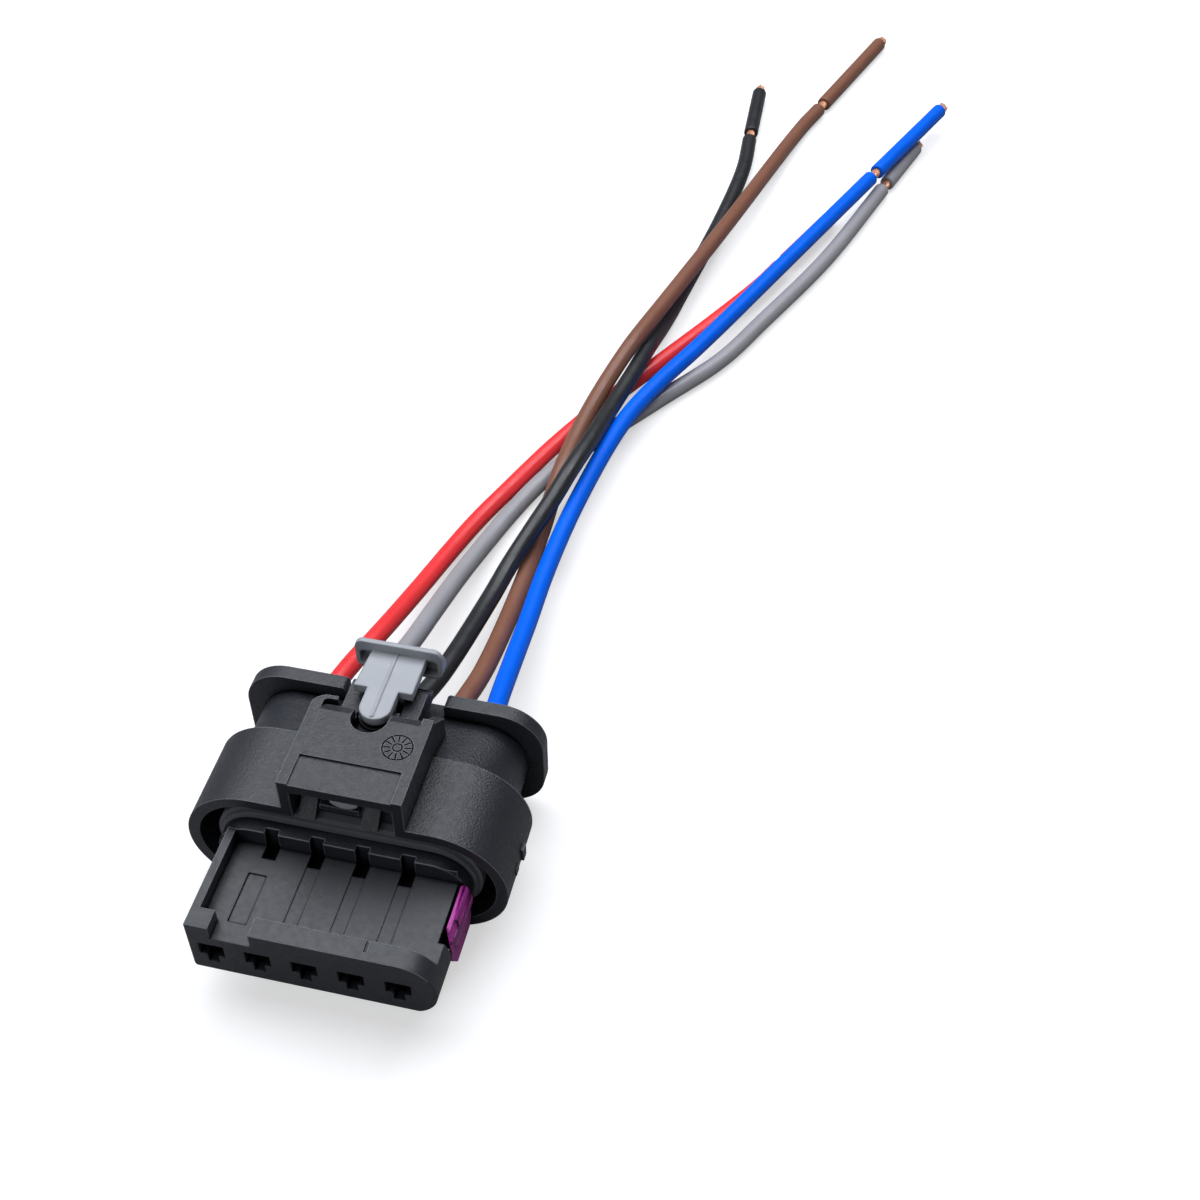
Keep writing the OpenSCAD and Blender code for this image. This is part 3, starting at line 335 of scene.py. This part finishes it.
class Shader(Tree):
    """A new material and the textures and masks that it is made of."""

    def __init__(self, name):
        self.material = bpy.data.materials.new(name)
        super().__init__(self.material)
        self.out = self.add("ShaderNodeOutputMaterial").inputs["Surface"]
        self.place = self.add("ShaderNodeTexCoord").outputs["Object"]

    def axis(self, letter):
        """One coordinate of the place, in metres."""
        return self.add("ShaderNodeSeparateXYZ", Vector=self.place).outputs[letter]

    def noise(self, scale, detail=2.0, rough=0.5, place=None):
        """Soft noise from 0 to 1."""
        return self.add("ShaderNodeTexNoise", Vector=place or self.place, Scale=scale, Detail=detail,
                        Roughness=rough).outputs["Fac"]

    def cells(self, scale):
        """Rounded cells, as in a leather grain."""
        return self.add("ShaderNodeTexVoronoi", {"feature": "SMOOTH_F1"}, Vector=self.place,
                        Scale=scale).outputs["Distance"]

    def math(self, operation, a, b):
        """Arithmetic on two values or outputs."""
        node = self.add("ShaderNodeMath", {"operation": operation})
        self.set(node.inputs[0], a)
        self.set(node.inputs[1], b)
        return node.outputs[0]

    def span(self, value, low, high, to_low=0.0, to_high=1.0):
        """Smooth step from one range to another."""
        node = self.add("ShaderNodeMapRange", {"interpolation_type": "SMOOTHSTEP"}, Value=value,
                        From_Min=low, From_Max=high, To_Min=to_low, To_Max=to_high)
        return node.outputs[0]

    def mix(self, factor, a, b):
        """Colour between a and b."""
        node = self.add("ShaderNodeMix", {"data_type": "RGBA"}, Factor=factor)
        self.set(node.inputs[6], a)
        self.set(node.inputs[7], b)
        return node.outputs[2]

    def round_edges(self, radius):
        """Normal that is rounded at edges."""
        return self.add("ShaderNodeBevel", {"samples": 6}, Radius=radius).outputs[0]

    def edges(self, rounded, low, high):
        """Factor that rises towards 1 on edges, from a normal that is rounded there."""
        plain = self.add("ShaderNodeNewGeometry").outputs["Normal"]
        node = self.add("ShaderNodeVectorMath", {"operation": "DOT_PRODUCT"})
        self.set(node.inputs[0], rounded)
        self.set(node.inputs[1], plain)
        return self.span(node.outputs["Value"], high, low)

    def bump(self, height, distance, strength, normal=None):
        """Normal with a relief on it."""
        node = self.add("ShaderNodeBump", Height=height, Distance=distance, Strength=strength)
        if normal is not None:
            self.set(node.inputs["Normal"], normal)
        return node.outputs[0]

    def open_sky(self, distance):
        """How open the surface is: 1 in the open, towards 0 deep in a crevice."""
        return self.add("ShaderNodeAmbientOcclusion", {"samples": 8}, Distance=distance).outputs["AO"]

    def surface(self, **inputs):
        """Finishes the material with one principled shader."""
        self.set(self.out, self.add("ShaderNodeBsdfPrincipled", **inputs).outputs[0])
        return self.material


def moulded_black(name):
    """Black moulding: fine leather grain on the body, satin on the nose."""
    # Base colour, the colour of the painted edge highlight, and the colour of the painted shade in
    # hollows
    base, painted_edge_highlight, painted_hollow_shade = srgb(37, 39, 45), srgb(150, 153, 160), srgb(6, 6, 7)
    s = Shader(name)
    body = s.span(s.axis("Y"), -1.2 * MM, 0.2 * MM)
    grain = s.math("ADD", s.cells(4000), s.math("MULTIPLY", s.noise(6500, 3, 0.6), 0.8))
    grain = s.math("MULTIPLY", grain, s.span(body, 0, 1, 0.25, 1.0))
    rounded = s.round_edges(0.26 * MM)
    normal = s.bump(s.noise(9000), 0.004 * MM, 0.5, rounded)
    normal = s.bump(grain, 0.05 * MM, 0.85, normal)
    rough = s.span(s.noise(1400, 3), 0.25, 0.75, 0.37, 0.49)
    # Painted highlight along the edges, pale, except low on the nose
    open_sky = s.span(s.open_sky(2.8 * MM), 0.18, 0.7)
    edge_highlight_mask = s.math("MULTIPLY", s.edges(rounded, 0.78, 0.97), s.span(open_sky, 0.6, 1.0, 0.0, 0.85))
    on_nose = s.span(s.axis("Y"), -0.3 * MM, -0.5 * MM)
    low_nose = s.math("MULTIPLY", on_nose, s.span(s.axis("Z"), 2.6 * MM, 2.4 * MM))
    edge_highlight_mask = s.math("MULTIPLY", edge_highlight_mask, s.math("SUBTRACT", 1.0, low_nose))
    # Painted shade in hollows and creases, on the colour and on the specular level
    crease = s.span(s.open_sky(0.4 * MM), 0.45, 0.9)
    clear = s.math("MULTIPLY", open_sky, crease)
    colour = s.mix(s.noise(260, 3), shade(base, 0.85), shade(base, 1.2))
    colour = s.mix(edge_highlight_mask, colour, painted_edge_highlight)
    colour = s.mix(clear, painted_hollow_shade, colour)
    return s.surface(Base_Color=colour, Roughness=rough, Normal=normal,
                     Specular_IOR_Level=s.math("MULTIPLY", clear, 0.5))


def satin_plastic(name, base, edge, deep, dark, clear):
    """Plain moulded plastic with a slight orange peel and uneven tint.

    It is rounded by edge, its tint goes down to deep, and painted shade darkens its hollows, from clear
    to dark.
    """
    s = Shader(name)
    colour = s.mix(s.noise(350, 3), shade(base, deep), shade(base, 1.12))
    # Painted shade in the hollows
    colour = s.mix(s.span(s.open_sky(2 * MM), dark, clear), shade(base, 0.05), colour)
    normal = s.bump(s.noise(2600, 3), 0.006 * MM, 0.5, s.round_edges(edge * MM))
    normal = s.bump(s.noise(9000), 0.003 * MM, 0.4, normal)
    rough = s.span(s.noise(900, 3), 0.25, 0.75, 0.35, 0.46)
    return s.surface(Base_Color=colour, Roughness=rough, Normal=normal)


def rubber(name, base):
    """Silicone with a faint bloom."""
    s = Shader(name)
    colour = s.mix(s.noise(500, 4, 0.6), shade(base, 0.78), shade(base, 1.15))
    normal = s.bump(s.noise(3500, 3), 0.008 * MM, 0.5, s.round_edges(0.2 * MM))
    rough = s.span(s.noise(1200, 3), 0.2, 0.8, 0.47, 0.63)
    return s.surface(Base_Color=colour, Roughness=rough, Normal=normal, Sheen_Weight=0.08)


def insulation(name, base, gloss):
    """Extruded insulation: faint streaks along the wire and small scuffs."""
    s = Shader(name)
    along = s.add("ShaderNodeMapping", Vector=s.place, Scale=(1.0, 0.12, 1.0)).outputs[0]
    colour = s.mix(s.noise(180, 3), shade(base, 0.9), shade(base, 1.1))
    normal = s.bump(s.noise(2200, place=along), 0.004 * MM, 0.15)
    normal = s.bump(s.noise(1500, 3), 0.006 * MM, 0.08, normal)
    rough = s.span(s.noise(700, 4), 0.25, 0.8, 0.27, 0.43)
    return s.surface(Base_Color=colour, Roughness=rough, Normal=normal, Specular_IOR_Level=gloss)


def metal(name, base, rough, dark, clear, metallic):
    """Plated or drawn metal with fine lines and faint tarnish, and painted shade where it lies deep."""
    s = Shader(name)
    colour = s.mix(s.noise(900, 4, 0.6), shade(base, 0.72), shade(base, 1.08))
    # Painted shade where the metal lies deep
    colour = s.mix(s.span(s.open_sky(3 * MM), dark, clear), shade(base, 0.03), colour)
    normal = s.bump(s.noise(5000, 3), 0.004 * MM, 0.4)
    uneven = s.span(s.noise(1600, 3), 0.2, 0.8, rough - 0.08, rough + 0.1)
    return s.surface(Base_Color=colour, Metallic=metallic, Normal=normal, Roughness=uneven)


black_plastic = moulded_black("black_plastic")
grey_plastic = satin_plastic("grey_plastic", srgb(155, 158, 164),
                             edge=0.4, deep=0.94, dark=0.18, clear=0.58)
purple_plastic = satin_plastic("purple_plastic", srgb(178, 51, 156),
                               edge=0.3, deep=0.8, dark=0.25, clear=0.68)
grey_silicone = rubber("grey_silicone", srgb(94, 96, 100))
dark_silicone = rubber("dark_silicone", srgb(80, 92, 104))
tin_plate = metal("tin_plate", srgb(205, 205, 203), rough=0.28, dark=0.45, clear=0.95, metallic=1.0)
copper = metal("copper", srgb(240, 176, 140), rough=0.38, dark=0.02, clear=0.35, metallic=0.55)

# Colour and gloss of each wire's insulation
INSULATION = {
    "red": (srgb(240, 54, 58), 0.42),
    "grey": (srgb(155, 154, 159), 0.42),
    "black": (srgb(38, 40, 43), 0.5),
    "brown": (srgb(130, 87, 69), 0.36),
    "blue": (srgb(0, 101, 238), 0.12),
}


def paint(obj, material):
    """Gives every face of an object one material."""
    if not obj.material_slots:
        obj.data.materials.append(material)
    for slot in obj.material_slots:
        slot.link = "OBJECT"
        slot.material = material


NODE_PAINT = {
    "housing": black_plastic,
    "latch_arm": black_plastic,
    "position_lock": grey_plastic,
    "terminal_lock": purple_plastic,
    "interface_seal": grey_silicone,
}
for name, material in NODE_PAINT.items():
    paint(nodes[name], material)
for i in range(1, WAYS + 1):
    paint(nodes[f"wire_seal_{i}"], dark_silicone)
    paint(nodes[f"terminal_{i}"], tin_plate)
for colour, finish in INSULATION.items():
    coat = insulation("insulation_" + colour, *finish)
    paint(wires[colour], coat)
    paint(slugs[colour], coat)
    paint(strands[colour], copper)


# Rounded edges of the small mouldings

SOFT_EDGES = {"position_lock": 0.3, "terminal_lock": 0.2, "latch_arm": 0.15}
WELD_GAP = 0.002
FLAT_ANGLE = 1.0
ROUND_ANGLE = 35
ROUND_STEPS = 3


def soften(obj, width):
    """Rounds an object's edges after its flat faces are joined."""
    weld = obj.modifiers.new("weld", "WELD")
    weld.merge_threshold = WELD_GAP * MM
    flat = obj.modifiers.new("flat", "DECIMATE")
    flat.decimate_type = "DISSOLVE"
    flat.angle_limit = math.radians(FLAT_ANGLE)
    bevel = obj.modifiers.new("round", "BEVEL")
    bevel.width = width * MM
    bevel.segments = ROUND_STEPS
    bevel.limit_method = "ANGLE"
    bevel.angle_limit = math.radians(ROUND_ANGLE)
    bevel.use_clamp_overlap = True


for name, width in SOFT_EDGES.items():
    soften(nodes[name], width)


# Stage, in metres: pale floor, white surround and soft lamps

FLOOR_HALF = 3.0
FLOOR_DROP = 0.01 * MM
PAPER_TINTS = srgb(196, 196, 197), srgb(202, 202, 203)
# Darker for the light that the floor throws back at the part
PAPER_BOUNCE = srgb(140, 140, 141)
# The camera sees the floor lifted towards white, more so far away
LIFT_FROM, LIFT_TO = 0.25, 0.7
LIFT_NEAR, LIFT_FAR = 0.54, 1.0
SURROUND_LIGHT = 0.10
LAMP_TINT = (0.92, 0.95, 1.0)
# Name, place, target, side length and power in watts
LAMPS = (
    ("softbox", (-0.08, 0.26, 0.56), (0, 0.03, 0), 0.6, 4.15),
    ("side", (-0.42, 0.10, 0.40), (0, 0.03, 0), 0.25, 0.9),
    ("fill", (-0.08, -0.45, 0.42), (0, 0.02, 0), 0.5, 1.0),
    ("back", (0.30, 0.44, 0.55), (0.01, 0.05, 0), 0.16, 0.9),
)

corners = [(x * FLOOR_HALF, y * FLOOR_HALF, 0) for x, y in ((-1, -1), (1, -1), (1, 1), (-1, 1))]
floor_mesh = bpy.data.meshes.new("floor")
floor_mesh.from_pydata(corners, [], [(0, 1, 2, 3)])
floor = bpy.data.objects.new("floor", floor_mesh)
floor.location = (0, 0, FLOOR_Z * MM - FLOOR_DROP)
scene.collection.objects.link(floor)

paper = Shader("floor_paper")
seen = paper.camera_ray()
pale = paper.mix(paper.noise(6, 3), *PAPER_TINTS)
matte = paper.add("ShaderNodeBsdfDiffuse", Color=paper.mix(seen, PAPER_BOUNCE, pale))
reach = paper.add("ShaderNodeVectorMath", {"operation": "LENGTH"}, Vector=paper.place).outputs["Value"]
lift = paper.add("ShaderNodeEmission", Color=WHITE,
                 Strength=paper.span(reach, LIFT_FROM, LIFT_TO, LIFT_NEAR, LIFT_FAR))
both = paper.add("ShaderNodeAddShader")
paper.set(both.inputs[0], matte.outputs[0])
paper.set(both.inputs[1], paper.choose(seen, None, lift.outputs[0]))
paper.set(paper.out, both.outputs[0])
paint(floor, paper.material)

scene.world = bpy.data.worlds.new("surround")
sky = Tree(scene.world)
dim = sky.add("ShaderNodeBackground", Color=WHITE, Strength=SURROUND_LIGHT)
plain = sky.add("ShaderNodeBackground", Color=WHITE, Strength=1.0)
sky.add("ShaderNodeOutputWorld", Surface=sky.choose(sky.camera_ray(), dim.outputs[0], plain.outputs[0]))


def lamp(name, place, target, size, power):
    """Soft square lamp that points at a target."""
    data = bpy.data.lights.new(name, "AREA")
    data.color = LAMP_TINT
    data.shape = "SQUARE"
    data.size = size
    data.energy = power
    obj = bpy.data.objects.new(name, data)
    obj.location = place
    obj.rotation_euler = (Vector(target) - Vector(place)).to_track_quat("-Z", "Y").to_euler()
    scene.collection.objects.link(obj)


for row in LAMPS:
    lamp(*row)
